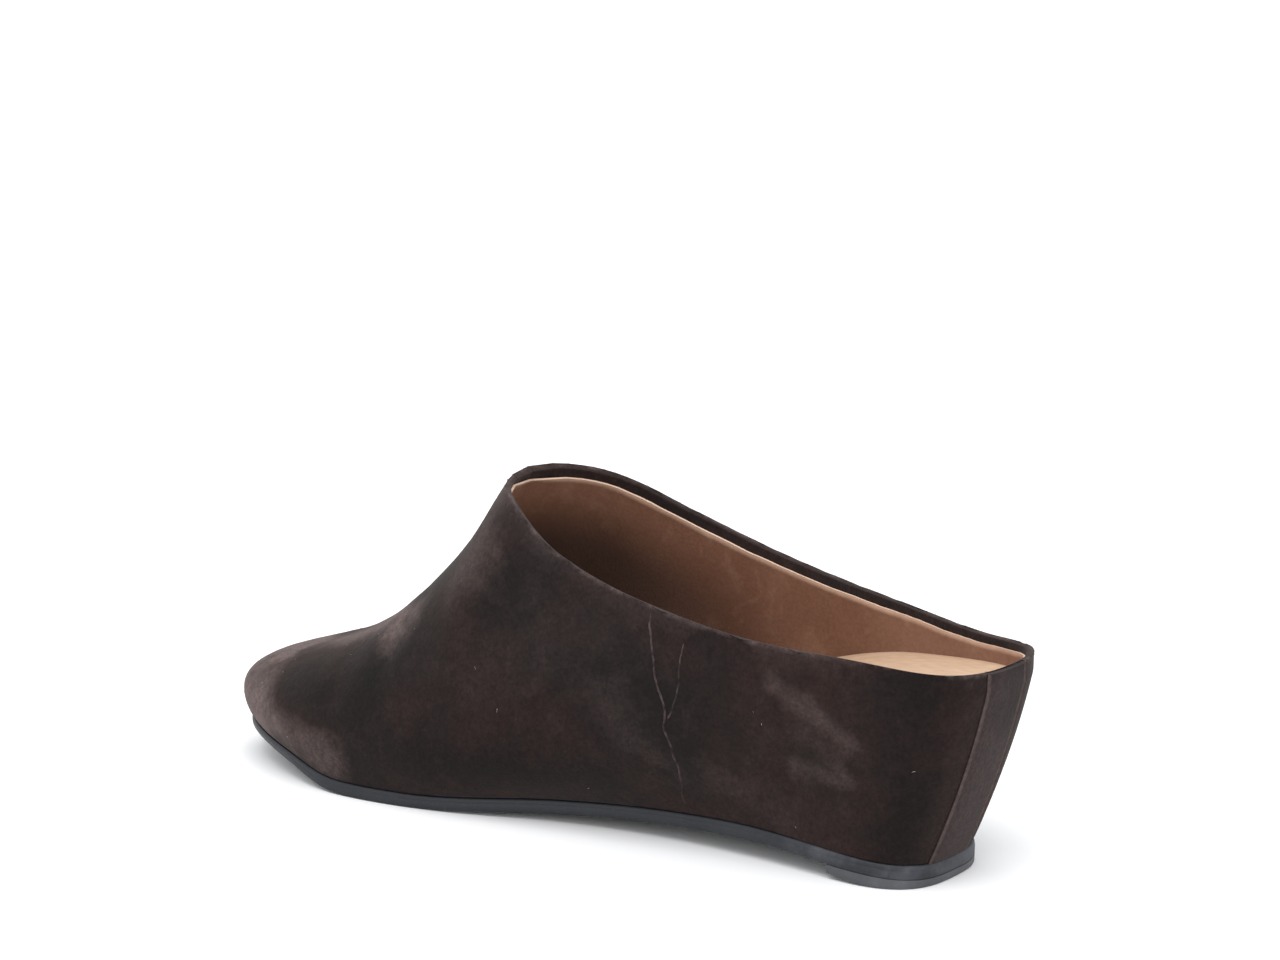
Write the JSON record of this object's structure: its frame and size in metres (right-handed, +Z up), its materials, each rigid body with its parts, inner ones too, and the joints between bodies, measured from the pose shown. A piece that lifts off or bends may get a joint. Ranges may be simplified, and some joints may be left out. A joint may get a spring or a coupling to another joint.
{
  "type": "mule",
  "caption": "Backless suede wedge mule for the right foot, with a closed toe, a high cut throat, a covered wedge and a flat rubber sole.",
  "frame": {"origin": "on the floor, under the middle of the shoe's bounding box", "axes": "+X from the heel to the toe, +Y to the wearer's left, which is the inner side of this right shoe, +Z up"},
  "size_m": [0.2524, 0.0874, 0.0936],
  "materials": {
    "suede": "napped suede",
    "cork": "matte",
    "tan_leather": "smooth, satin",
    "black_rubber": "matte"
  },
  "bodies": {
    "root": {"upper": "suede", "back_strap": "suede", "wedge": "cork", "insole": "tan_leather", "outsole": "black_rubber", "heel_lift": "black_rubber"}
  },
  "joints": []
}
